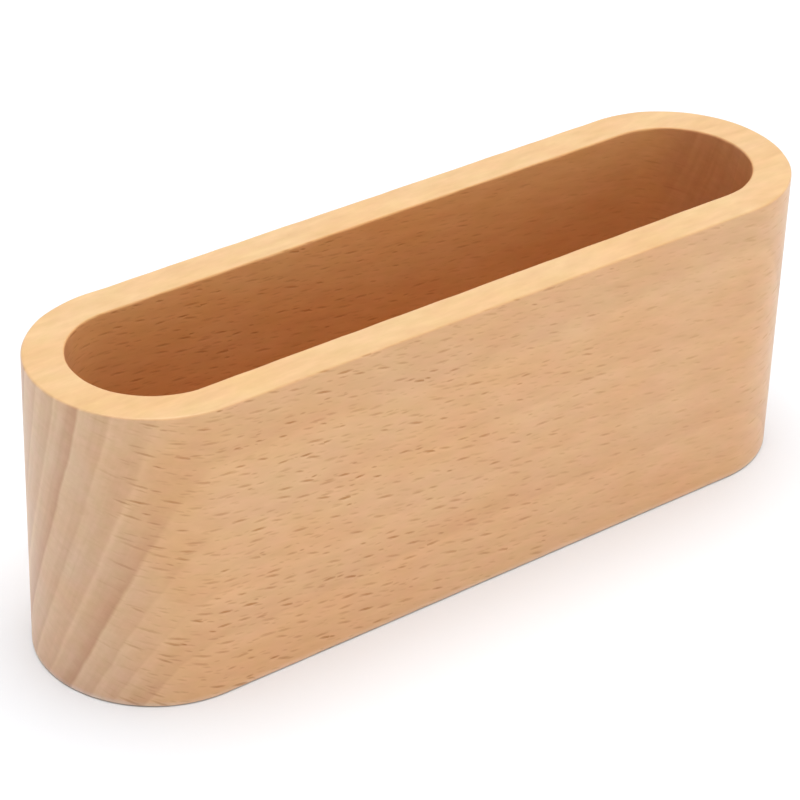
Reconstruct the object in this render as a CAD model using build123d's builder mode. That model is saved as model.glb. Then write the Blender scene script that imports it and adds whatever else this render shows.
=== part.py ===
"""Business card holder: an obround beech block with one milled card slot, on four thin rubber feet.

The frame has +X along the block, +Y from its front face to its back face, and +Z up.
The origin is on the desk, under the middle of the block. All sizes are in millimetres.
"""

import os

from build123d import *

# The block
block_length = 110.0
block_width = 30.0
holder_height = 40.0  # from the desk to the rim
rim_round = 0.3  # sanded outer edge of the rim
underside_round = 0.2  # sanded outer edge of the underside

# The card slot, cut down from the rim
wall = 5.0  # the same along the sides and round the ends
floor_thickness = 7.0  # wood left under the cards
mouth_round = 0.3  # sanded inner edge of the rim
slot_corner_round = 0.4  # left by the cutter round the slot's floor

# The feet, glued into shallow recesses in the underside
foot_diameter = 8.0
foot_thickness = 1.0
foot_proud = 0.1  # how far a foot stands out of the underside
foot_edge_round = 0.2  # the foot's edge on the desk
foot_margin = 3.0  # wood between a recess and the block's long side
recess_clearance = 0.1  # gap round a foot in its recess

# Sizes that follow from those above
block_height = holder_height - foot_proud
slot_length = block_length - 2 * wall
slot_width = block_width - 2 * wall
slot_depth = block_height - floor_thickness
recess_radius = foot_diameter / 2 + recess_clearance
recess_depth = foot_thickness - foot_proud
foot_x = (block_length - block_width) / 2  # the centres of the rounded ends
foot_y = block_width / 2 - foot_margin - recess_radius

rim_plane = Plane.XY.offset(holder_height)
underside_plane = Plane.XY.offset(foot_proud)

os.makedirs("parts", exist_ok=True)

# The block: one piece of beech, with its grain along X
with BuildPart() as block:
    with BuildSketch(underside_plane):
        SlotOverall(block_length, block_width)
    extrude(amount=block_height)
    fillet(block.faces().sort_by(Axis.Z)[-1].edges(), rim_round)
    fillet(block.faces().sort_by(Axis.Z)[0].edges(), underside_round)

    with BuildSketch(rim_plane):
        SlotOverall(slot_length, slot_width)
    extrude(amount=-slot_depth, mode=Mode.SUBTRACT)
    rim = block.faces().sort_by(Axis.Z)[-1]
    fillet(rim.inner_wires()[0].edges(), mouth_round)
    slot_floor = block.faces().filter_by(Axis.Z).sort_by(Axis.Z)[1]
    fillet(slot_floor.edges(), slot_corner_round)

    with Locations(underside_plane):
        with GridLocations(2 * foot_x, 2 * foot_y, 2, 2):
            Hole(recess_radius, depth=recess_depth)
block.part.label = "block"
export_step(block.part, "parts/block.step")

# The feet: the same disc in each recess, up against the recess's ceiling
for side, side_sign in (("front", -1), ("back", 1)):
    for end, end_sign in (("left", -1), ("right", 1)):
        with BuildPart() as foot:
            with BuildSketch():
                with Locations((end_sign * foot_x, side_sign * foot_y)):
                    Circle(foot_diameter / 2)
            extrude(amount=foot_thickness)
            fillet(foot.faces().sort_by(Axis.Z)[0].edges(), foot_edge_round)
        foot.part.label = f"foot_{side}_{end}"
        export_step(foot.part, f"parts/{foot.part.label}.step")
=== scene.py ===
"""Looks of the business card holder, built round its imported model.

An obround block of beech with a milled card slot stands on four thin rubber feet. Each piece is a mesh
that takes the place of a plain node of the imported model. Each finish is worked out from where a point
lies in the wood or the rubber, so the grain runs unbroken round every edge.

The frame has +X along the block, +Y from its front face to its back face, and +Z up from the desk.
Lengths are in metres, apart from values whose names end in _mm and the places that a finish works with,
which are in millimetres.
"""

import logging
import math
from dataclasses import dataclass
from enum import Enum
from typing import Any, Mapping, Optional, Sequence, Union

import bmesh
import bpy
from mathutils import Matrix, Vector, noise


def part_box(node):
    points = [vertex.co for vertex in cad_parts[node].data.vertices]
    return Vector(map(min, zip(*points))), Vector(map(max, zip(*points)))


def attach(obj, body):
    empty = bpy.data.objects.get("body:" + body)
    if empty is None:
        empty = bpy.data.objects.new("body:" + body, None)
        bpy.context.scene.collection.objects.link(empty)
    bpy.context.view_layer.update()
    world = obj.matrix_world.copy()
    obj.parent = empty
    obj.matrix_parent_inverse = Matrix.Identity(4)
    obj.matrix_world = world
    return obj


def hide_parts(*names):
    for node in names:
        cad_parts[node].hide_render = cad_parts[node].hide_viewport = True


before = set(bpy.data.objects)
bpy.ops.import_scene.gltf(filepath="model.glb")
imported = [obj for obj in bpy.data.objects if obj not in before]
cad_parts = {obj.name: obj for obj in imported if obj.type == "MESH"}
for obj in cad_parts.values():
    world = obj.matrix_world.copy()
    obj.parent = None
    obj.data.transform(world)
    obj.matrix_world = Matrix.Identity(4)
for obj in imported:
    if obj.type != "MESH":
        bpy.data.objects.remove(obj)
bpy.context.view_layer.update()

BODY = "root"
MM = 0.001
MM_PER_METRE = 1000.0

log = logging.getLogger("card_holder")

Colour = tuple[float, float, float]
ProfilePoint = tuple[float, float]
Feed = Union[float, Sequence[float], bpy.types.NodeSocket, "Value"]


class FootPlace(Enum):
    """The four feet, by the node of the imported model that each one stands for."""

    FRONT_LEFT = "foot_front_left"
    FRONT_RIGHT = "foot_front_right"
    BACK_LEFT = "foot_back_left"
    BACK_RIGHT = "foot_back_right"


class Slot(Enum):
    """Names of the material slots for the beech and the rubber."""

    BEECH = "beech"
    RUBBER = "foot_rubber"


class SandedEdge(Enum):
    """The block's sanded edges, each with its own height in the noise, so that no two change alike."""

    UNDERSIDE = 1.5
    RIM = 2.5
    MOUTH = 3.5


class Value:
    """A number that changes over a surface: an output socket, on which operators add Math nodes."""

    def __init__(self, sheet: "NodeSheet", socket: bpy.types.NodeSocket) -> None:
        """Wraps an output socket of a node on the sheet."""
        self.sheet = sheet
        self.socket = socket

    def __add__(self, other: Feed) -> "Value":
        """The value plus another."""
        return self.sheet.maths("ADD", self, other)

    __radd__ = __add__

    def __sub__(self, other: Feed) -> "Value":
        """The value less another."""
        return self.sheet.maths("SUBTRACT", self, other)

    def __rsub__(self, other: Feed) -> "Value":
        """Another value less this one."""
        return self.sheet.maths("SUBTRACT", other, self)

    def __mul__(self, other: Feed) -> "Value":
        """The value times another."""
        return self.sheet.maths("MULTIPLY", self, other)

    __rmul__ = __mul__

    def __truediv__(self, other: Feed) -> "Value":
        """The value divided by another."""
        return self.sheet.maths("DIVIDE", self, other)

    def __rtruediv__(self, other: Feed) -> "Value":
        """Another value divided by this one."""
        return self.sheet.maths("DIVIDE", other, self)

    def __abs__(self) -> "Value":
        """The value without its sign."""
        return self.sheet.maths("ABSOLUTE", self)

    def rise(self, low: float, high: float) -> "Value":
        """Turns the value into a mask that rises smoothly.

        Args:
            low: where the mask leaves 0.
            high: where the mask reaches 1.

        Returns:
            The mask, from 0 to 1.
        """
        sockets = {"Value": self, "From Min": low, "From Max": high}
        node = self.sheet.node("ShaderNodeMapRange", {"interpolation_type": "SMOOTHSTEP"}, sockets)
        return Value(self.sheet, node.outputs["Result"])


def opaque(colour: Feed) -> Feed:
    """A written colour with its opacity added, as a socket takes it, or a link as it is."""
    return (*colour, 1.0) if isinstance(colour, tuple) else colour


class NodeSheet:
    """A node tree that is being laid out, with one method that adds any node to it."""

    # Places of a Mix node's colour sockets, whose names its other sockets share
    MIX_FIRST = 6
    MIX_SECOND = 7
    MIX_RESULT = 2

    # Level about which Blender's soft noise lies, and how close to it the noise mostly stays
    CLOUD_MIDDLE = 0.5
    CLOUD_REACH = 0.3

    def __init__(self, tree: bpy.types.NodeTree) -> None:
        """Takes over the tree and empties it."""
        self.tree = tree
        self.tree.nodes.clear()

    def node(
        self,
        kind: str,
        settings: Optional[Mapping[str, Any]] = None,
        sockets: Optional[Mapping[Union[str, int], Feed]] = None,
    ) -> bpy.types.Node:
        """Adds a node, with its settings first and its sockets after them.

        Args:
            kind: Blender's name of the node's type.
            settings: the node's own properties.
            sockets: a value or a link for each input socket, by its name or its place.

        Returns:
            The new node.
        """
        node = self.tree.nodes.new(kind)
        for name, setting in (settings or {}).items():
            setattr(node, name, setting)
        for place, feed in (sockets or {}).items():
            source = feed.socket if isinstance(feed, Value) else feed
            if isinstance(source, bpy.types.NodeSocket):
                self.tree.links.new(source, node.inputs[place])
            else:
                node.inputs[place].default_value = source
        return node

    def maths(self, operation: str, *feeds: Feed) -> Value:
        """Adds a Math node.

        Args:
            operation: Blender's name of the operation.
            feeds: what goes into the node's sockets, in their order.

        Returns:
            The node's result.
        """
        node = self.node("ShaderNodeMath", {"operation": operation}, dict(enumerate(feeds)))
        return Value(self, node.outputs[0])

    def split(self, vector: bpy.types.NodeSocket) -> tuple[Value, Value, Value]:
        """The three parts of a vector, as values."""
        node = self.node("ShaderNodeSeparateXYZ", sockets={0: vector})
        return tuple(Value(self, socket) for socket in node.outputs)

    def join(self, x: Feed, y: Feed, z: Feed) -> bpy.types.NodeSocket:
        """A vector made of three values."""
        return self.node("ShaderNodeCombineXYZ", sockets={0: x, 1: y, 2: z}).outputs[0]

    def scale(self, vector: bpy.types.NodeSocket, factor: Feed) -> bpy.types.NodeSocket:
        """A vector times a value."""
        sockets = {0: vector, "Scale": factor}
        return self.node("ShaderNodeVectorMath", {"operation": "SCALE"}, sockets).outputs[0]

    def mix(self, factor: Feed, first: Feed, second: Feed, blend: str = "MIX") -> bpy.types.NodeSocket:
        """Mixes two colours.

        Args:
            factor: how much of the second colour is laid over the first.
            first: the colour below.
            second: the colour above.
            blend: Blender's name of the way in which the second colour is laid on.

        Returns:
            The mixed colour.
        """
        settings = {"data_type": "RGBA", "blend_type": blend}
        sockets = {0: factor, self.MIX_FIRST: opaque(first), self.MIX_SECOND: opaque(second)}
        return self.node("ShaderNodeMix", settings, sockets).outputs[self.MIX_RESULT]

    def tint(self, factor: Feed, colour: Feed, tint: Feed) -> bpy.types.NodeSocket:
        """A colour that is multiplied by a tint where the factor is 1."""
        return self.mix(factor, colour, tint, "MULTIPLY")

    def vary(self, colour: bpy.types.NodeSocket, amount: Value, weights: Colour) -> bpy.types.NodeSocket:
        """Makes a colour lighter or darker.

        Args:
            colour: the colour.
            amount: how much lighter it gets, as a share, or darker where this is below zero.
            weights: how strongly that changes its red, its green and its blue.

        Returns:
            The changed colour.
        """
        sockets = {0: weights, 1: amount, 2: (1.0, 1.0, 1.0)}
        change = self.node("ShaderNodeVectorMath", {"operation": "MULTIPLY_ADD"}, sockets).outputs[0]
        sockets = {0: colour, 1: change}
        return self.node("ShaderNodeVectorMath", {"operation": "MULTIPLY"}, sockets).outputs[0]

    def cloud(self, vector: bpy.types.NodeSocket, detail: float, size: float = 1.0) -> Value:
        """Soft noise about zero.

        Args:
            vector: where in the noise each point lies.
            detail: how many finer layers of noise are added.
            size: about how large its patches are.

        Returns:
            The noise.
        """
        sockets = {"Vector": vector, "Scale": 1.0 / size, "Detail": detail}
        node = self.node("ShaderNodeTexNoise", sockets=sockets)
        return Value(self, node.outputs["Fac"]) - self.CLOUD_MIDDLE

    def between(self, cloud: Value, first: Colour, second: Colour) -> bpy.types.NodeSocket:
        """A colour that goes from one to another with soft noise."""
        return self.mix(cloud.rise(-self.CLOUD_REACH, self.CLOUD_REACH), first, second)

    def relief(self, height: Value, height_mm: float, strength: float) -> bpy.types.NodeSocket:
        """Makes a surface look raised and sunk.

        Args:
            height: how high each point stands.
            height_mm: what a height of 1 measures.
            strength: how strongly the relief shows.

        Returns:
            The way each point then faces.
        """
        sockets = {"Strength": strength, "Distance": height_mm * MM, "Height": height}
        return self.node("ShaderNodeBump", sockets=sockets).outputs[0]

    def surface(self, sockets: Mapping[str, Feed]) -> None:
        """Adds the surface's shader, with a feed for each socket, and the material's output."""
        shader = self.node("ShaderNodeBsdfPrincipled", sockets=sockets)
        self.node("ShaderNodeOutputMaterial", sockets={"Surface": shader.outputs[0]})


def new_material(name: str) -> tuple[bpy.types.Material, NodeSheet]:
    """Starts a material.

    Args:
        name: the material's name.

    Returns:
        The material and the sheet of its nodes.
    """
    material = bpy.data.materials.new(name)
    material.use_nodes = True
    return material, NodeSheet(material.node_tree)


@dataclass(frozen=True)
class FaceShares:
    """A share for each way in which a surface can cut the grain.

    Attributes:
        side: the share on an upright face along the grain.
        end: the share on end grain.
        level: the share on a level face.
    """

    side: float
    end: float
    level: float


@dataclass(frozen=True)
class BlockShape:
    """The part of the block's shape that its finish has to know.

    Attributes:
        half_straight: half the length of the straight sides.
        half_width: half the block's width.
        slot_half_width: half the slot's width.
        underside: height of the underside.
        floor: height of the slot's floor.
        rim: height of the rim.
    """

    half_straight: float
    half_width: float
    slot_half_width: float
    underside: float
    floor: float
    rim: float


@dataclass(frozen=True)
class WoodPlace:
    """Where a point lies in the board, and how the surface cuts the grain there.

    Attributes:
        sheet: the sheet of the wood's nodes.
        along: place along the grain, in millimetres.
        across: place across the grain and along the growth rings, in millimetres.
        radius: distance from the pith, in millimetres.
        end_face: 1 where the surface cuts straight across the grain.
        ring_face: 1 where the surface lies along the growth rings.
        level_face: 1 where the surface is level.
        outside: 1 on the outside of the block, 0 inside the slot.
        height: 0 at the desk, 1 at the rim.
        lower_edge_light: where painted light is laid along the lower edge, 1 on the edge and 0 away from
            it.
    """

    sheet: NodeSheet
    along: Value
    across: Value
    radius: Value
    end_face: Value
    ring_face: Value
    level_face: Value
    outside: Value
    height: Value
    lower_edge_light: Value

    def by_face(self, shares: FaceShares) -> Value:
        """The share that holds at each point, changing smoothly from one face to the next."""
        end = self.end_face * (shares.end - shares.side)
        return end + self.level_face * (shares.level - shares.side) + shares.side


@dataclass(frozen=True)
class GrainCloud:
    """Soft noise that is stretched along the grain.

    Attributes:
        along_mm: size of a patch along the grain.
        radius_mm: its size from ring to ring.
        across_mm: its size along the rings.
        detail: how many finer layers of noise are added.
    """

    along_mm: float
    radius_mm: float
    across_mm: float
    detail: float = 2.0

    def draw(self, place: WoodPlace) -> Value:
        """Draws the noise.

        Args:
            place: where the point lies in the board.

        Returns:
            The noise at each point, about zero.
        """
        along = place.along / self.along_mm
        vector = place.sheet.join(along, place.radius / self.radius_mm, place.across / self.across_mm)
        return place.sheet.cloud(vector, self.detail)


@dataclass(frozen=True)
class GrowthRings:
    """Growth rings about a pith line along X. Each one darkens outwards and ends at a sharp edge.

    Attributes:
        pith_y_mm, pith_z_mm: where the pith line is.
        bold_radius_mm: radius of the boldest ring edge, from which the others are counted.
        inner_width_mm: width of the rings inside the bold edge.
        outer_width_mm: width of the rings outside it.
        sway_mm: how far a ring strays from its circle.
        sway_length_mm: distance over which it strays.
        sway_detail: how many finer layers of noise the straying has.
        ragged_mm: how far its edge is frayed.
        ragged_length_mm: size of the frayed bits.
        ragged_detail: how many finer layers of noise the fraying has.
        bold_every: how many rings there are from one bold edge to the next.
        faint_share: how dark the faintest ring gets, as a share of the boldest.
        edge_share: width of a ring's outer edge, as a share of the ring.
    """

    pith_y_mm: float = 149.6
    pith_z_mm: float = 71.3
    bold_radius_mm: float = 169.05
    inner_width_mm: float = 3.48
    outer_width_mm: float = 2.34
    sway_mm: float = 2.2
    sway_length_mm: float = 55.0
    sway_detail: float = 1.0
    ragged_mm: float = 0.6
    ragged_length_mm: float = 4.0
    ragged_detail: float = 3.0
    bold_every: int = 3
    faint_share: float = 0.33
    edge_share: float = 0.14

    def polar(self, sheet: NodeSheet, point: bpy.types.NodeSocket) -> tuple[Value, Value]:
        """Finds where a point lies among the rings.

        Args:
            sheet: the sheet of the wood's nodes.
            point: the point, in millimetres.

        Returns:
            Its distance from the pith, strayed and frayed as the rings are, and its place along the bold
            ring.
        """
        _, y, z = sheet.split(point)
        to_pith_y = self.pith_y_mm - y
        to_pith_z = self.pith_z_mm - z
        distance = sheet.maths("SQRT", to_pith_y * to_pith_y + to_pith_z * to_pith_z)
        sway = sheet.cloud(point, self.sway_detail, self.sway_length_mm) * self.sway_mm
        fray = sheet.cloud(point, self.ragged_detail, self.ragged_length_mm) * self.ragged_mm
        around = sheet.maths("ARCTAN2", to_pith_z, to_pith_y) * -self.bold_radius_mm
        return distance + sway + fray, around

    def lateness(self, radius: Value) -> Value:
        """How late in the growing season the wood at a point grew.

        Args:
            radius: distance from the pith, in millimetres.

        Returns:
            0 in a ring's early wood, rising towards its outer edge, furthest in a bold ring.
        """
        sheet = radius.sheet
        past_bold = radius - self.bold_radius_mm
        count = sheet.maths("MAXIMUM", past_bold / self.inner_width_mm, past_bold / self.outer_width_mm)
        share = sheet.maths("FRACT", count)
        turn = (count - share + 1.0) * (math.tau / self.bold_every)
        swing = (1.0 - self.faint_share) / 2
        boldness = sheet.maths("COSINE", turn) * swing + (1.0 - swing)
        return share * (1.0 - share.rise(1.0 - self.edge_share, 1.0)) * boldness


@dataclass(frozen=True)
class FleckLayer:
    """Ray flecks of one size: short dark dashes along the grain, each with a painted highlight just
    below it, where the lower wall of its groove would catch the light.

    Attributes:
        cell_length_mm: how far apart flecks are along the grain.
        cell_width_mm: how far apart they are across it.
        half_length_mm: half the length of a middling fleck.
        half_thickness_mm: half its greatest thickness.
        lip_mm: how far its painted highlight lies below its middle line.
        strength: how much of the fleck's colour the darkest flecks have.
        edge_mm: how far a fleck's edge fades out.
        lip_edge_mm: how far the edge of its painted highlight fades out.
        length_spread: share by which a fleck may be longer or shorter.
        thickness_spread: share by which it may be thicker or thinner.
        lean: steepest slope of a fleck against the grain.
        fade: how much a fleck darkens towards one tip and pales towards the other, as a share.
        faintest_share: strength of the faintest fleck, as a share of the darkest one's.
        disorder: how far flecks stray from even rows, from 0 to 1.
        chain_length_mm, chain_width_mm: size of the patches in which flecks are dark or faint together.
        chain_detail: how many finer layers of noise the patches have.
        chain_share: how much of a fleck's strength it owes to its patch.
        chain_faint, chain_dark: levels of the patches' noise at which flecks are faint and dark.
    """

    cell_length_mm: float
    cell_width_mm: float
    half_length_mm: float
    half_thickness_mm: float
    lip_mm: float
    strength: float
    edge_mm: float = 0.035
    lip_edge_mm: float = 0.07
    length_spread: float = 0.55
    thickness_spread: float = 0.25
    lean: float = 0.12
    fade: float = 0.4
    faintest_share: float = 0.2
    disorder: float = 0.9
    chain_length_mm: float = 12.0
    chain_width_mm: float = 1.6
    chain_detail: float = 0.0
    chain_share: float = 0.6
    chain_faint: float = -0.25
    chain_dark: float = 0.2

    def draw(self, place: WoodPlace) -> tuple[Value, Value]:
        """Draws the flecks.

        Args:
            place: where the point lies in the board.

        Returns:
            The flecks' darkness and their painted highlights at each point.
        """
        sheet = place.sheet
        settings = {"voronoi_dimensions": "2D", "feature": "F1"}
        cell = sheet.join(place.along / self.cell_length_mm, place.across / self.cell_width_mm, 0.0)
        sockets = {"Vector": cell, "Scale": 1.0, "Randomness": self.disorder}
        seeds = sheet.node("ShaderNodeTexVoronoi", settings, sockets).outputs
        column, row, _ = sheet.split(seeds["Position"])
        chance_size, chance_lean, chance_strength = sheet.split(seeds["Color"])
        seed_along = column * self.cell_length_mm
        seed_across = row * self.cell_width_mm

        past_along = place.along - seed_along
        turn = chance_lean * 2.0 - 1.0
        past_across = place.across - seed_across + past_along * turn * self.lean
        size = chance_size * 2.0 - 1.0
        to_tip = past_along / ((size * self.length_spread + 1.0) * self.half_length_mm)
        taper = sheet.maths("MAXIMUM", 1.0 - to_tip * to_tip, 0.0)
        thickness = (size * self.thickness_spread + 1.0) * self.half_thickness_mm
        half_thickness = sheet.maths("SQRT", taper) * thickness

        patch = sheet.join(seed_along / self.chain_length_mm, seed_across / self.chain_width_mm, 0.0)
        chain = sheet.cloud(patch, self.chain_detail).rise(self.chain_faint, self.chain_dark)
        chance_strength = chance_strength * (chain * self.chain_share + (1.0 - self.chain_share))
        fading = taper * (1.0 + to_tip * turn * self.fade)
        strength = chance_strength * (1.0 - self.faintest_share) + self.faintest_share
        strength = strength * fading * self.strength
        from_lip = abs(past_across + self.lip_mm)
        inside_fleck = (half_thickness - abs(past_across)).rise(-self.edge_mm, self.edge_mm)
        inside_highlight = (half_thickness - from_lip).rise(-self.lip_edge_mm, self.lip_edge_mm)
        return inside_fleck * strength, inside_highlight * strength


@dataclass(frozen=True)
class BeechFinish:
    """Sanded and oiled beech, as one board with its grain along X, with painted light and shade laid
    into its colour.

    Attributes:
        early_wood: colour of the wood that grew first in each ring.
        late_wood: colour of the wood that grew last in each ring.
        low_painted_shade, high_painted_light: painted shade towards the underside and painted light
            towards the rim, between which the colour changes with height.
        deep_cast, pale_cast: the two casts between which broad patches vary.
        pink_cast, straw_cast: the two casts between which small patches vary.
        uneven_weights: how strongly fibres, streaks and mottling change the wood's red, green and blue.
        fleck_tint: what a ray fleck does to the colour under it.
        lip_highlight_tint: painted highlight just below a fleck, where the lower wall of its groove
            would catch the light.
        end_sheen_tint: painted sheen on the end grain outside, a paler and greyer colour in place of its
            glossy reflection.
        level_tint: what a level cut does to the colour.
        slot_shade_tint: painted shade inside the slot, which makes its colour darker and deeper orange.
        inside_end_tint: what end grain does to it there.
        lower_edge_light_tint: painted light along the lower edge, which pales the colour there against
            the shadow under it.
        rings: the growth rings.
        flecks: the layers of ray flecks.
        fibre: the fine fibres.
        streak: long streaks within the rings.
        ray: the rays, as they show where they are cut across.
        mottle: small lighter and darker spots.
        small_patch, broad_patch: the patches in which the casts vary.
        ring_shares: how strongly the rings show.
        streak_shares, ray_shares, mottle_shares: how much the streaks, the rays and the mottling change
            the colour.
        fibre_share: how much the fibres change it.
        inside_ring_share: how strongly the rings show inside the slot, as a share of the outside.
        hidden_fleck_share: how strongly flecks show on faces that don't lie along the rings.
        fleck_fade_start_mm, fleck_fade_end_mm: the stretch along the board over which the flecks fade.
        fleck_fade_share: how much of their strength they lose there.
        grain_tilt: slope of the grain, down towards +X, in radians.
        waver_mm: how far the grain wavers.
        waver_length_mm: distance over which it wavers.
        waver_detail: how many finer layers of noise the wavering has.
        end_turn, ring_turn, level_turn: how squarely a face has to lie to start and to end turning into
            end grain, a face along the rings or a level face, as cosines.
        slot_edge_mm: distance past the slot's wall and floor over which the outside's finish starts.
        lower_edge_light_mm: distance from the lower edge up to which the painted light reaches.
        groove_depth_mm: how deep the darkest flecks lie under the surface.
        groove_strength: how strongly that depth shows.
        fibre_height_share: how high the fibres stand, as a share of that depth.
        roughness: roughness of the bare wood.
        fibre_roughness, fleck_roughness: how much the fibres change it and the flecks add to it.
        specular_level: how glossy the bare wood is.
        oil_weight: how much of the outside's gloss comes from its oil.
        oil_roughness: roughness of the oil.
    """

    early_wood: Colour = (0.72, 0.40, 0.18)
    late_wood: Colour = (0.525, 0.229, 0.089)
    low_painted_shade: Colour = (0.975, 0.958, 0.972)
    high_painted_light: Colour = (1.025, 1.042, 1.045)
    deep_cast: Colour = (1.0, 0.957, 0.90)
    pale_cast: Colour = (1.0, 1.043, 1.10)
    pink_cast: Colour = (1.01, 0.982, 1.02)
    straw_cast: Colour = (0.99, 1.016, 0.975)
    uneven_weights: Colour = (0.75, 1.0, 1.5)
    fleck_tint: Colour = (0.665, 0.54, 0.415)
    lip_highlight_tint: Colour = (1.05, 1.1, 1.17)
    end_sheen_tint: Colour = (0.965, 1.105, 1.41)
    level_tint: Colour = (0.956, 1.042, 1.02)
    slot_shade_tint: Colour = (0.985, 0.893, 0.758)
    inside_end_tint: Colour = (0.865, 0.835, 0.97)
    lower_edge_light_tint: Colour = (1.06, 1.27, 1.75)
    rings: GrowthRings = GrowthRings()
    flecks: tuple[FleckLayer, ...] = (
        FleckLayer(
            cell_length_mm=3.0,
            cell_width_mm=1.4,
            half_length_mm=0.96,
            half_thickness_mm=0.12,
            lip_mm=0.3,
            strength=0.96,
        ),
        FleckLayer(
            cell_length_mm=2.0,
            cell_width_mm=0.95,
            half_length_mm=0.65,
            half_thickness_mm=0.085,
            lip_mm=0.25,
            strength=0.45,
        ),
    )
    fibre: GrainCloud = GrainCloud(along_mm=2.5, radius_mm=0.25, across_mm=0.25)
    streak: GrainCloud = GrainCloud(along_mm=60.0, radius_mm=0.8, across_mm=20.0)
    ray: GrainCloud = GrainCloud(along_mm=2.5, radius_mm=1.4, across_mm=0.6)
    mottle: GrainCloud = GrainCloud(along_mm=5.0, radius_mm=1.4, across_mm=1.2, detail=3.0)
    small_patch: GrainCloud = GrainCloud(along_mm=4.0, radius_mm=2.2, across_mm=2.2)
    broad_patch: GrainCloud = GrainCloud(along_mm=16.0, radius_mm=8.0, across_mm=8.0)
    ring_shares: FaceShares = FaceShares(side=0.26, end=1.0, level=0.15)
    streak_shares: FaceShares = FaceShares(side=0.05, end=0.25, level=0.1)
    ray_shares: FaceShares = FaceShares(side=0.0, end=0.13, level=0.1)
    mottle_shares: FaceShares = FaceShares(side=0.26, end=0.18, level=0.34)
    fibre_share: float = 0.06
    inside_ring_share: float = 0.3
    hidden_fleck_share: float = 0.05
    fleck_fade_start_mm: float = -25.0
    fleck_fade_end_mm: float = 50.0
    fleck_fade_share: float = 0.62
    grain_tilt: float = math.radians(8.5)
    waver_mm: float = 0.12
    waver_length_mm: float = 0.7
    waver_detail: float = 1.0
    end_turn: tuple[float, float] = (0.35, 0.95)
    ring_turn: tuple[float, float] = (0.4, 0.9)
    level_turn: tuple[float, float] = (0.5, 0.95)
    slot_edge_mm: float = 0.3
    lower_edge_light_mm: float = 0.9
    groove_depth_mm: float = 0.01
    groove_strength: float = 1.0
    fibre_height_share: float = 0.3
    roughness: float = 0.5
    fibre_roughness: float = 0.12
    fleck_roughness: float = 0.3
    specular_level: float = 0.3
    oil_weight: float = 0.65
    oil_roughness: float = 0.4

    def locate(self, sheet: NodeSheet, shape: BlockShape) -> WoodPlace:
        """Finds where each point lies in the board.

        Args:
            sheet: the sheet of the wood's nodes.
            shape: the block's shape.

        Returns:
            The place.
        """
        coordinates = sheet.node("ShaderNodeTexCoord").outputs
        point = sheet.scale(coordinates["Object"], MM_PER_METRE)
        x, y, z = sheet.split(point)
        facing_x, facing_y, facing_z = (abs(part) for part in sheet.split(coordinates["Normal"]))
        radius, around = self.rings.polar(sheet, point)
        waver = sheet.cloud(point, self.waver_detail, self.waver_length_mm) * self.waver_mm
        past_straight = sheet.maths("MAXIMUM", abs(x) - shape.half_straight * MM_PER_METRE, 0.0)
        from_middle = sheet.maths("SQRT", past_straight * past_straight + y * y)
        past_wall = from_middle - shape.slot_half_width * MM_PER_METRE
        under_floor = shape.floor * MM_PER_METRE - z
        within_side = shape.half_width * MM_PER_METRE - from_middle
        over_underside = z - shape.underside * MM_PER_METRE
        from_low_edge = sheet.maths("SQRT", within_side * within_side + over_underside * over_underside)
        return WoodPlace(
            sheet=sheet,
            along=x * math.cos(self.grain_tilt) - around * math.sin(self.grain_tilt),
            across=x * math.sin(self.grain_tilt) + around * math.cos(self.grain_tilt) + waver,
            radius=radius,
            end_face=facing_x.rise(*self.end_turn),
            ring_face=facing_y.rise(*self.ring_turn),
            level_face=facing_z.rise(*self.level_turn),
            outside=sheet.maths("MAXIMUM", past_wall, under_floor).rise(0.0, self.slot_edge_mm),
            height=z / (shape.rim * MM_PER_METRE),
            lower_edge_light=1.0 - from_low_edge.rise(0.0, self.lower_edge_light_mm),
        )

    def draw_flecks(self, place: WoodPlace) -> tuple[Value, Value]:
        """Draws all the flecks, as strong as each face shows them.

        Args:
            place: where the point lies in the board.

        Returns:
            The flecks' darkness and their painted highlights, from 0 to 1.
        """
        faded = place.along.rise(self.fleck_fade_start_mm, self.fleck_fade_end_mm)
        facing = place.ring_face * (1.0 - self.hidden_fleck_share) + self.hidden_fleck_share
        shown = facing * (1.0 - faded * self.fleck_fade_share)
        layers = [layer.draw(place) for layer in self.flecks]
        darkness, highlight = (place.sheet.maths("MAXIMUM", *drawn) for drawn in zip(*layers))
        return darkness * shown, highlight * shown

    def cut_colour(self, place: WoodPlace) -> bpy.types.NodeSocket:
        """The colour of the growth rings, as each face cuts them, with painted shade and light that
        change with height, a painted sheen on the outer end grain, painted shade in the slot and painted
        light along the lower edge.

        Args:
            place: where the point lies in the board.

        Returns:
            The colour.
        """
        sheet = place.sheet
        inside = 1.0 - place.outside
        late = self.rings.lateness(place.radius) * place.by_face(self.ring_shares)
        late = late * (place.outside * (1.0 - self.inside_ring_share) + self.inside_ring_share)
        colour = sheet.mix(late, self.early_wood, self.late_wood)
        # Painted shade towards the underside and painted light towards the rim.
        colour = sheet.tint(1.0, colour, sheet.mix(place.height, self.low_painted_shade, self.high_painted_light))
        # Painted sheen on the end grain outside: paler and greyer, in place of its glossy reflection.
        colour = sheet.tint(place.end_face * place.outside, colour, self.end_sheen_tint)
        colour = sheet.tint(place.level_face, colour, self.level_tint)
        # Painted shade inside the slot: darker and deeper orange.
        colour = sheet.tint(inside, colour, self.slot_shade_tint)
        colour = sheet.tint(inside * place.end_face, colour, self.inside_end_tint)
        # Painted light along the lower edge, laid against the shadow under it.
        return sheet.tint(place.lower_edge_light, colour, self.lower_edge_light_tint)

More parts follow.
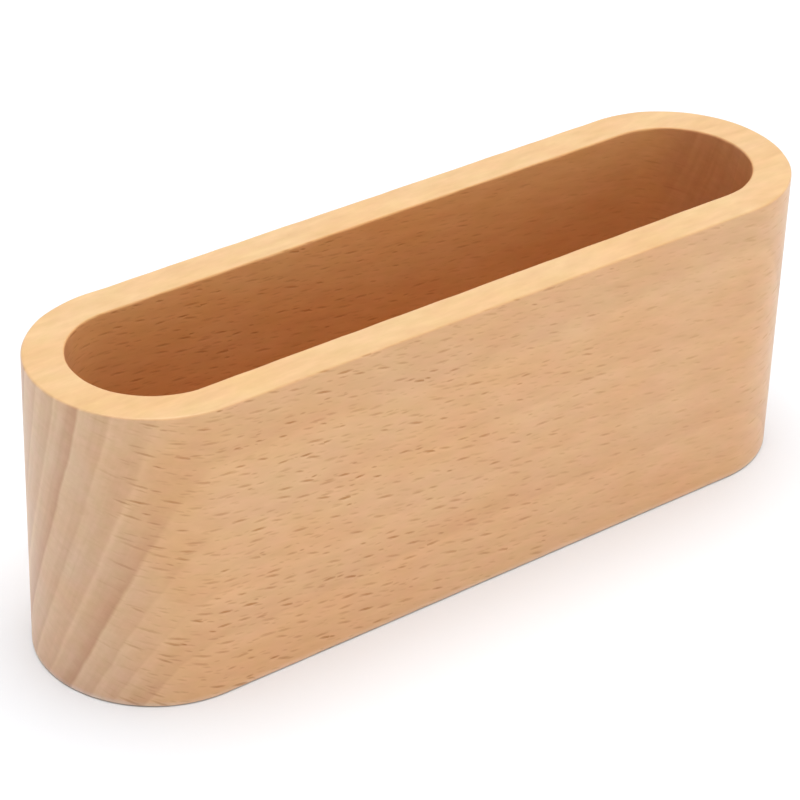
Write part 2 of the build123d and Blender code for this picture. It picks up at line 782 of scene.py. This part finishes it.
    def uneven_colour(
        self, place: WoodPlace, colour: bpy.types.NodeSocket, fibre: Value
    ) -> bpy.types.NodeSocket:
        """Adds the casts of patches, and lighter and darker fibres, streaks, rays and spots.

        Args:
            place: where the point lies in the board.
            colour: the colour of the rings.
            fibre: the fibres.

        Returns:
            The uneven colour.
        """
        sheet = place.sheet
        broad_cast = sheet.between(self.broad_patch.draw(place), self.deep_cast, self.pale_cast)
        small_cast = sheet.between(self.small_patch.draw(place), self.pink_cast, self.straw_cast)
        colour = sheet.tint(1.0, sheet.tint(1.0, colour, broad_cast), small_cast)
        streak = self.streak.draw(place) * place.by_face(self.streak_shares)
        ray = self.ray.draw(place) * place.by_face(self.ray_shares)
        spots = self.mottle.draw(place) * place.by_face(self.mottle_shares)
        return sheet.vary(colour, streak + ray + spots + fibre * self.fibre_share, self.uneven_weights)

    def material(self, shape: BlockShape) -> bpy.types.Material:
        """Lays out the wood's nodes.

        Args:
            shape: the block's shape.

        Returns:
            The material.
        """
        material, sheet = new_material("satin_beech")
        place = self.locate(sheet, shape)
        fleck, lip_highlight = self.draw_flecks(place)
        fibre = self.fibre.draw(place)
        colour = self.uneven_colour(place, self.cut_colour(place), fibre)
        # Painted highlight below each fleck, where the lower wall of its groove would catch the light.
        colour = sheet.tint(fleck, sheet.tint(lip_highlight, colour, self.lip_highlight_tint), self.fleck_tint)
        height = fibre * self.fibre_height_share - fleck
        sockets = {
            "Base Color": colour,
            "Roughness": fibre * self.fibre_roughness + fleck * self.fleck_roughness + self.roughness,
            "Specular IOR Level": self.specular_level,
            "Coat Weight": place.outside * (1.0 - fleck) * self.oil_weight,
            "Coat Roughness": self.oil_roughness,
            "Normal": sheet.relief(height, self.groove_depth_mm, self.groove_strength),
        }
        sheet.surface(sockets)
        return material


@dataclass(frozen=True)
class RubberFinish:
    """Moulded black rubber, with a fine grain and a little dust.

    Attributes:
        rubber: colour of clean rubber.
        dust: colour of the dust that settles in the grain.
        grain_mm: size of the moulded grain.
        grain_detail: how many finer layers of noise the grain has.
        grain_height_mm: height of the grain.
        grain_strength: how strongly the grain shows.
        smear_mm: size of the smears of dust.
        smear_detail: how many finer layers of noise they have.
        smear_share: how much of the dust's colour a smear has.
        speck_share: how much of it the dust in the grain has.
        roughness: roughness of clean rubber.
        dust_roughness: how much dust adds to it.
    """

    rubber: Colour = (0.035, 0.033, 0.031)
    dust: Colour = (0.16, 0.145, 0.125)
    grain_mm: float = 0.12
    grain_detail: float = 2.0
    grain_height_mm: float = 0.04
    grain_strength: float = 0.5
    smear_mm: float = 1.7
    smear_detail: float = 3.0
    smear_share: float = 0.35
    speck_share: float = 0.15
    roughness: float = 0.78
    dust_roughness: float = 0.2

    def material(self) -> bpy.types.Material:
        """Lays out the rubber's nodes.

        Returns:
            The material.
        """
        material, sheet = new_material("foot_rubber_matte")
        coordinates = sheet.node("ShaderNodeTexCoord").outputs
        point = sheet.scale(coordinates["Object"], MM_PER_METRE)
        grain = sheet.cloud(point, self.grain_detail, self.grain_mm)
        smear = sheet.cloud(point, self.smear_detail, self.smear_mm)
        smeared = smear.rise(0.0, sheet.CLOUD_REACH) * self.smear_share
        dusty = smeared + grain.rise(0.0, sheet.CLOUD_REACH) * self.speck_share
        sockets = {
            "Base Color": sheet.mix(dusty, self.rubber, self.dust),
            "Roughness": dusty * self.dust_roughness + self.roughness,
            "Normal": sheet.relief(grain, self.grain_height_mm, self.grain_strength),
        }
        sheet.surface(sockets)
        return material


@dataclass(frozen=True)
class TableFinish:
    """The plain white table top.

    Attributes:
        white: the table's colour.
        roughness: roughness of its matt surface.
        specular_level: how glossy it is.
    """

    white: Colour = (0.854, 0.876, 0.908)
    roughness: float = 0.9
    specular_level: float = 0.0

    def material(self) -> bpy.types.Material:
        """Lays out the table's nodes.

        Returns:
            The material.
        """
        material, sheet = new_material("white_table")
        sockets = {
            "Base Color": opaque(self.white),
            "Roughness": self.roughness,
            "Specular IOR Level": self.specular_level,
        }
        sheet.surface(sockets)
        return material


def add_object(name: str, data: bpy.types.ID) -> bpy.types.Object:
    """Puts a mesh, a light or a camera in the scene.

    Args:
        name: the object's name.
        data: what it shows.

    Returns:
        The object.
    """
    added = bpy.data.objects.new(name, data)
    bpy.context.scene.collection.objects.link(added)
    return added


class RingMesh:
    """A mesh that is built up from closed rings of points."""

    SHARP_ANGLE = math.radians(40.0)

    def __init__(self) -> None:
        """Starts an empty mesh."""
        self.mesh = bmesh.new()

    def ring(self, points: Sequence[Vector]) -> list[bmesh.types.BMVert]:
        """Adds the points of one ring.

        Args:
            points: the ring's points, in order.

        Returns:
            The ring's vertices.
        """
        return [self.mesh.verts.new(point) for point in points]

    def bridge(self, first: Sequence[bmesh.types.BMVert], second: Sequence[bmesh.types.BMVert]) -> None:
        """Joins two rings that have as many points with a band of quads.

        Args:
            first: one ring.
            second: the ring beside it.
        """
        for place, vertex in enumerate(first):
            following = (place + 1) % len(first)
            self.mesh.faces.new((vertex, first[following], second[following], second[place]))

    def ladder(self, ring: Sequence[bmesh.types.BMVert], tip: int) -> None:
        """Closes a ring that is the same on both sides of a line with rungs across that line.

        Args:
            ring: the ring.
            tip: place in the ring of one of the two points on the line.
        """
        count = len(ring)
        for step in range(count // 2):
            places = (tip - step, tip - step - 1, tip + step + 1, tip + step)
            corners = [ring[place % count] for place in places]
            self.mesh.faces.new(dict.fromkeys(corners))

    def plate(self, rings: Sequence[Sequence[bmesh.types.BMVert]]) -> None:
        """Fills the flat space inside the first ring and outside the others.

        Args:
            rings: the outline and then the holes.
        """
        edges = []
        for ring in rings:
            for place, vertex in enumerate(ring):
                pair = (vertex, ring[(place + 1) % len(ring)])
                edges.append(self.mesh.edges.get(pair) or self.mesh.edges.new(pair))
        bmesh.ops.triangle_fill(self.mesh, use_beauty=True, use_dissolve=False, edges=edges)

    def to_object(self, name: str, material: bpy.types.Material) -> bpy.types.Object:
        """Ends the mesh and puts it in the scene.

        Args:
            name: the object's name.
            material: its finish.

        Returns:
            The object, smooth but for its sharp corners.
        """
        bmesh.ops.recalc_face_normals(self.mesh, faces=self.mesh.faces)
        for face in self.mesh.faces:
            face.smooth = True
        data = bpy.data.meshes.new(name)
        self.mesh.to_mesh(data)
        self.mesh.free()
        data.set_sharp_from_angle(angle=self.SHARP_ANGLE)
        data.materials.append(material)
        return add_object(name, data)


def quarter_round(
    centre: ProfilePoint, radius: float, start: float, end: float, steps: int
) -> list[ProfilePoint]:
    """Points round an edge.

    Args:
        centre: the arc's centre, as distance out and height.
        radius: the arc's radius.
        start: angle of its first point, in degrees, from outwards towards up.
        end: angle of its last point, in degrees.
        steps: how many chords it has.

    Returns:
        The points, with both ends.
    """
    angles = [math.radians(start + (end - start) * step / steps) for step in range(steps + 1)]
    out, up = centre
    return [(out + radius * math.cos(angle), up + radius * math.sin(angle)) for angle in angles]


def circle(centre: Vector, radius: float, height: float, steps: int) -> list[Vector]:
    """Points of a level circle.

    Args:
        centre: the circle's centre, of which only X and Y count.
        radius: its radius.
        height: its Z.
        steps: how many points it has.

    Returns:
        The points, anticlockwise from above.
    """
    angles = [math.tau * step / steps for step in range(steps)]
    reaches = [(radius * math.cos(angle), radius * math.sin(angle)) for angle in angles]
    return [Vector((centre.x + x, centre.y + y, height)) for x, y in reaches]


@dataclass(frozen=True)
class Station:
    """A place round the block.

    Attributes:
        centre: point on the line between the centres of the rounded ends.
        outward: direction from there to the outer wall.
    """

    centre: Vector
    outward: Vector

    def at(self, reach: float, height: float) -> Vector:
        """The point that is so far out and so high at this station."""
        level = self.centre + self.outward * reach
        return Vector((level.x, level.y, height))


@dataclass
class CardBlock:
    """The beech block: its outer wall, rim, card slot and the recesses for the feet.

    Attributes:
        finish: the block's wood.
        node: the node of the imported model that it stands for.
        wall: thickness of the wood round the slot.
        floor_thickness: thickness of the wood under the cards.
        rim_round: radius of the rim's sanded outer edge.
        underside_round: radius of the underside's sanded edge.
        mouth_round: radius of the sanded edge of the slot's mouth.
        slot_corner_round: radius left round the slot's floor by the cutter.
        hand_sanding: share by which a sanded radius changes along its edge.
        sanding_stroke: length along an edge over which it changes.
        recess_clearance: gap round a foot in its recess.
        edge_band: width of the narrow bands that keep flat faces flat beside an edge.
        arc_steps, straight_steps: quads round a half circle and along a straight.
        round_steps: quads round an edge.
        wall_steps: quads up a wall.
        recess_steps: points round a recess.
    """

    finish: BeechFinish = BeechFinish()
    node: str = "block"
    wall: float = 5.0 * MM
    floor_thickness: float = 7.0 * MM
    rim_round: float = 0.3 * MM
    underside_round: float = 0.2 * MM
    mouth_round: float = 0.3 * MM
    slot_corner_round: float = 0.4 * MM
    hand_sanding: float = 0.4
    sanding_stroke: float = 3.5 * MM
    recess_clearance: float = 0.1 * MM
    edge_band: float = 0.12 * MM
    arc_steps: int = 64
    straight_steps: int = 128
    round_steps: int = 6
    wall_steps: int = 10
    recess_steps: int = 48

    def __post_init__(self) -> None:
        """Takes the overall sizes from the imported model."""
        low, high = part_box(self.node)
        self.underside: float = low.z
        self.rim: float = high.z
        self.end_radius: float = (high.y - low.y) / 2
        self.half_straight: float = (high.x - low.x) / 2 - self.end_radius
        self.slot_radius: float = self.end_radius - self.wall
        self.floor: float = self.underside + self.floor_thickness

    def stations(self) -> list[Station]:
        """Lays out the places round the block.

        Returns:
            The places, anticlockwise from the left end of the front straight.
        """
        found = []
        for side in (-1, 1):
            for step in range(self.straight_steps):
                share = step / self.straight_steps
                centre = Vector((side * self.half_straight * (1 - 2 * share), 0.0, 0.0))
                found.append(Station(centre, Vector((0.0, side, 0.0))))
            for step in range(self.arc_steps):
                angle = math.pi * (step / self.arc_steps - 0.5 + (side + 1) / 2)
                centre = Vector((-side * self.half_straight, 0.0, 0.0))
                found.append(Station(centre, Vector((math.cos(angle), math.sin(angle), 0.0))))
        return found

    def sanded(self, radius: float, station: Station, edge: SandedEdge) -> float:
        """Radius of a hand-sanded edge.

        Args:
            radius: the edge's middling radius.
            station: where along the edge.
            edge: which edge it is.

        Returns:
            The radius there.
        """
        place = station.at(self.end_radius, 0.0) / self.sanding_stroke
        change = noise.noise(Vector((place.x, place.y, edge.value)))
        return radius * (1.0 + self.hand_sanding * change)

    def profile(self, station: Station) -> list[ProfilePoint]:
        """The block's section at a station, from the underside up and over the rim to the slot's floor.

        Args:
            station: the place round the block.

        Returns:
            Distances out from the station's centre, and heights.
        """
        steps = self.round_steps
        outer = self.end_radius
        inner = self.slot_radius
        foot_round = self.sanded(self.underside_round, station, SandedEdge.UNDERSIDE)
        rim_round = self.sanded(self.rim_round, station, SandedEdge.RIM)
        mouth_round = self.sanded(self.mouth_round, station, SandedEdge.MOUTH)
        corner = self.slot_corner_round
        wall_low = self.underside + foot_round + self.edge_band
        wall_high = self.rim - rim_round - self.edge_band
        slot_high = self.rim - mouth_round - self.edge_band
        slot_low = self.floor + corner + self.edge_band
        rise = [step / self.wall_steps for step in range(self.wall_steps + 1)]
        return [
            (outer - foot_round - self.edge_band, self.underside),
            *quarter_round((outer - foot_round, self.underside + foot_round), foot_round, -90, 0, steps),
            *((outer, wall_low + (wall_high - wall_low) * share) for share in rise),
            *quarter_round((outer - rim_round, self.rim - rim_round), rim_round, 0, 90, steps),
            (outer - rim_round - self.edge_band, self.rim),
            ((outer + inner) / 2, self.rim),
            (inner + mouth_round + self.edge_band, self.rim),
            *quarter_round((inner + mouth_round, self.rim - mouth_round), mouth_round, 90, 180, steps),
            *((inner, slot_high + (slot_low - slot_high) * share) for share in rise),
            *quarter_round((inner - corner, self.floor + corner), corner, 0, -90, steps),
            (inner - corner - self.edge_band, self.floor),
        ]

    def build(self) -> bpy.types.Object:
        """Builds and dresses the block.

        Returns:
            The block's object.
        """
        shape = RingMesh()
        stations = self.stations()
        profiles = [self.profile(station) for station in stations]
        rings = []
        for level in zip(*profiles):
            points = [station.at(reach, height) for station, (reach, height) in zip(stations, level)]
            rings.append(shape.ring(points))
        for lower, upper in zip(rings, rings[1:]):
            shape.bridge(lower, upper)
        shape.ladder(rings[-1], tip=self.straight_steps + self.arc_steps // 2)
        shape.plate([rings[0], *self.recesses(shape)])
        known = BlockShape(
            half_straight=self.half_straight,
            half_width=self.end_radius,
            slot_half_width=self.slot_radius,
            underside=self.underside,
            floor=self.floor,
            rim=self.rim,
        )
        piece = shape.to_object("beech_block", self.finish.material(known))
        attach(piece, BODY)
        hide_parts(self.node)
        return piece

    def recesses(self, shape: RingMesh) -> list[list[bmesh.types.BMVert]]:
        """Sinks a recess for each foot.

        Args:
            shape: the block's mesh.

        Returns:
            The recesses' mouths, which are holes in the underside.
        """
        mouths = []
        for place in FootPlace:
            low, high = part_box(place.value)
            centre = (low + high) / 2
            radius = (high.x - low.x) / 2 + self.recess_clearance
            mouth = shape.ring(circle(centre, radius, self.underside, self.recess_steps))
            ceiling = shape.ring(circle(centre, radius, high.z, self.recess_steps))
            shape.bridge(mouth, ceiling)
            shape.ladder(ceiling, tip=0)
            mouths.append(mouth)
        return mouths


@dataclass
class RubberFoot:
    """A rubber disc in its recess, with a moulded ring groove in its underside.

    Attributes:
        finish: the foot's material.
        place: which foot it is.
        edge_round: radius of the edge on the desk.
        groove_share: the groove's radius, as a share of the foot's.
        groove_width: the groove's width.
        groove_depth: the groove's depth.
        steps: points round the foot.
        round_steps: quads round its edge and its groove.
    """

    finish: bpy.types.Material
    place: FootPlace
    edge_round: float = 0.2 * MM
    groove_share: float = 0.62
    groove_width: float = 0.7 * MM
    groove_depth: float = 0.15 * MM
    steps: int = 64
    round_steps: int = 6

    def __post_init__(self) -> None:
        """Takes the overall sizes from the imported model."""
        low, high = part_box(self.place.value)
        self.centre: Vector = (low + high) / 2
        self.radius: float = (high.x - low.x) / 2
        self.desk: float = low.z
        self.top: float = high.z

    def profile(self) -> list[ProfilePoint]:
        """The foot's section, from its top over its edge to the middle of its underside.

        Returns:
            Distances out from the foot's middle, and heights.
        """
        groove = self.radius * self.groove_share
        shares = [step / self.round_steps for step in range(self.round_steps + 1)]
        hollow = [
            (
                groove + self.groove_width * (0.5 - share),
                self.desk + self.groove_depth * math.sin(math.pi * share) ** 2,
            )
            for share in shares
        ]
        edge_centre = (self.radius - self.edge_round, self.desk + self.edge_round)
        return [
            (self.radius / 2, self.top),
            (self.radius, self.top),
            *quarter_round(edge_centre, self.edge_round, 0, -90, self.round_steps),
            *hollow,
            (groove / 2, self.desk),
        ]

    def build(self) -> bpy.types.Object:
        """Builds and dresses the foot.

        Returns:
            The foot's object.
        """
        shape = RingMesh()
        rings = []
        for reach, height in self.profile():
            rings.append(shape.ring(circle(self.centre, reach, height, self.steps)))
        for upper, lower in zip(rings, rings[1:]):
            shape.bridge(upper, lower)
        shape.ladder(rings[0], tip=0)
        shape.ladder(rings[-1], tip=0)
        piece = shape.to_object(f"rubber_{self.place.value}", self.finish)
        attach(piece, BODY)
        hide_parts(self.place.value)
        return piece


@dataclass
class Studio:
    """A white table under one broad soft light in a white room.

    Attributes:
        finish: the table's material.
        table_half_width: half the table's width.
        table_steps: quads along the table's side.
        wall_level: brightness of the room's walls, as they light the holder.
        right_share: how much brighter the right wall is, and how much darker the left one, as a share.
        ceiling_level: brightness of its ceiling, as it lights the holder.
        room_white: colour of the room's light.
        wall_top, ceiling_edge: heights of the directions in which the walls end and the ceiling starts,
            as sines.
        seen_level: brightness of the room where it is seen or mirrored.
        softbox_power: strength of the overhead light.
        softbox_spread: how wide the overhead light looks from the table, in radians.
    """

    finish: bpy.types.Material
    table_half_width: float = 4.0
    table_steps: int = 8
    wall_level: float = 0.945
    right_share: float = 0.48
    ceiling_level: float = 0.25
    room_white: Colour = (1.0, 1.0, 1.0)
    wall_top: float = 0.3
    ceiling_edge: float = 0.7
    seen_level: float = 1.0
    softbox_power: float = 2.72
    softbox_spread: float = math.radians(55.0)

    def table(self) -> bpy.types.Object:
        """Builds the table top.

        Returns:
            The table's object.
        """
        mesh = bmesh.new()
        bmesh.ops.create_grid(
            mesh, x_segments=self.table_steps, y_segments=self.table_steps, size=self.table_half_width
        )
        data = bpy.data.meshes.new("table")
        mesh.to_mesh(data)
        mesh.free()
        data.materials.append(self.finish)
        top = add_object("table", data)
        return top

    def room(self) -> None:
        """Lights the scene from all round, and shows white where the room itself is seen."""
        world = bpy.data.worlds.new("white_room")
        bpy.context.scene.world = world
        world.use_nodes = True
        sheet = NodeSheet(world.node_tree)
        rays = sheet.node("ShaderNodeLightPath").outputs
        kinds = ("Is Camera Ray", "Is Glossy Ray", "Is Transmission Ray")
        camera, glossy, through = (Value(sheet, rays[kind]) for kind in kinds)
        seen = sheet.maths("MAXIMUM", sheet.maths("MAXIMUM", camera, glossy), through)
        rightward, _, upward = sheet.split(sheet.node("ShaderNodeTexCoord").outputs["Generated"])
        walls = rightward * (self.wall_level * self.right_share) + self.wall_level
        lit = walls + upward.rise(self.wall_top, self.ceiling_edge) * (self.ceiling_level - walls)
        level = seen * (self.seen_level - lit) + lit
        sockets = {"Color": opaque(self.room_white), "Strength": level}
        light = sheet.node("ShaderNodeBackground", sockets=sockets)
        sheet.node("ShaderNodeOutputWorld", sockets={"Surface": light.outputs[0]})

    def softbox(self) -> bpy.types.Object:
        """Hangs the overhead light.

        Returns:
            The light's object.
        """
        lamp = bpy.data.lights.new("overhead_softbox", "SUN")
        lamp.energy = self.softbox_power
        lamp.angle = self.softbox_spread
        return add_object("overhead_softbox", lamp)


@dataclass
class CameraStand:
    """The camera, aimed at the holder from the front and the left, from above.

    Attributes:
        azimuth: turn about the holder, from straight in front towards the right, in radians.
        elevation: height above the table, as an angle, in radians.
        roll: turn of the camera about its own line of sight, in radians.
        distance: distance to the target.
        target: the point that the camera is aimed at.
        lens_mm: focal length.
        sensor_mm: width of the sensor.
    """

    azimuth: float = math.radians(-38.621)
    elevation: float = math.radians(32.059)
    roll: float = math.radians(1.944)
    distance: float = 388.5 * MM
    target: Vector = Vector((-3.724, -0.277, 20.199)) * MM
    lens_mm: float = 141.273
    sensor_mm: float = 36.0

    def build(self) -> bpy.types.Object:
        """Sets the camera up as the scene's own.

        Returns:
            The camera's object.
        """
        level = math.cos(self.elevation)
        sideways = math.sin(self.azimuth) * level
        forwards = math.cos(self.azimuth) * level
        back = Vector((sideways, -forwards, math.sin(self.elevation)))
        right = Vector((0.0, 0.0, 1.0)).cross(back).normalized()
        up = back.cross(right)
        turn = Matrix((right, up, back)).transposed() @ Matrix.Rotation(self.roll, 3, "Z")
        data = bpy.data.cameras.new("camera")
        data.lens = self.lens_mm
        data.sensor_width = self.sensor_mm
        camera = add_object("camera", data)
        camera.matrix_world = Matrix.Translation(self.target + back * self.distance) @ turn.to_4x4()
        bpy.context.scene.camera = camera
        return camera


def main() -> None:
    """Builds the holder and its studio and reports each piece."""
    logging.basicConfig(level=logging.INFO, format="%(name)s: %(message)s")
    bpy.context.scene.view_settings.view_transform = "Standard"

    rubber = RubberFinish().material()
    pieces = [CardBlock().build()]
    pieces += [RubberFoot(rubber, place).build() for place in FootPlace]
    for piece in pieces:
        log.info("%s: %d faces", piece.name, len(piece.data.polygons))

    studio = Studio(TableFinish().material())
    studio.table()
    studio.room()
    studio.softbox()
    CameraStand().build()


if __name__ == "__main__":
    main()
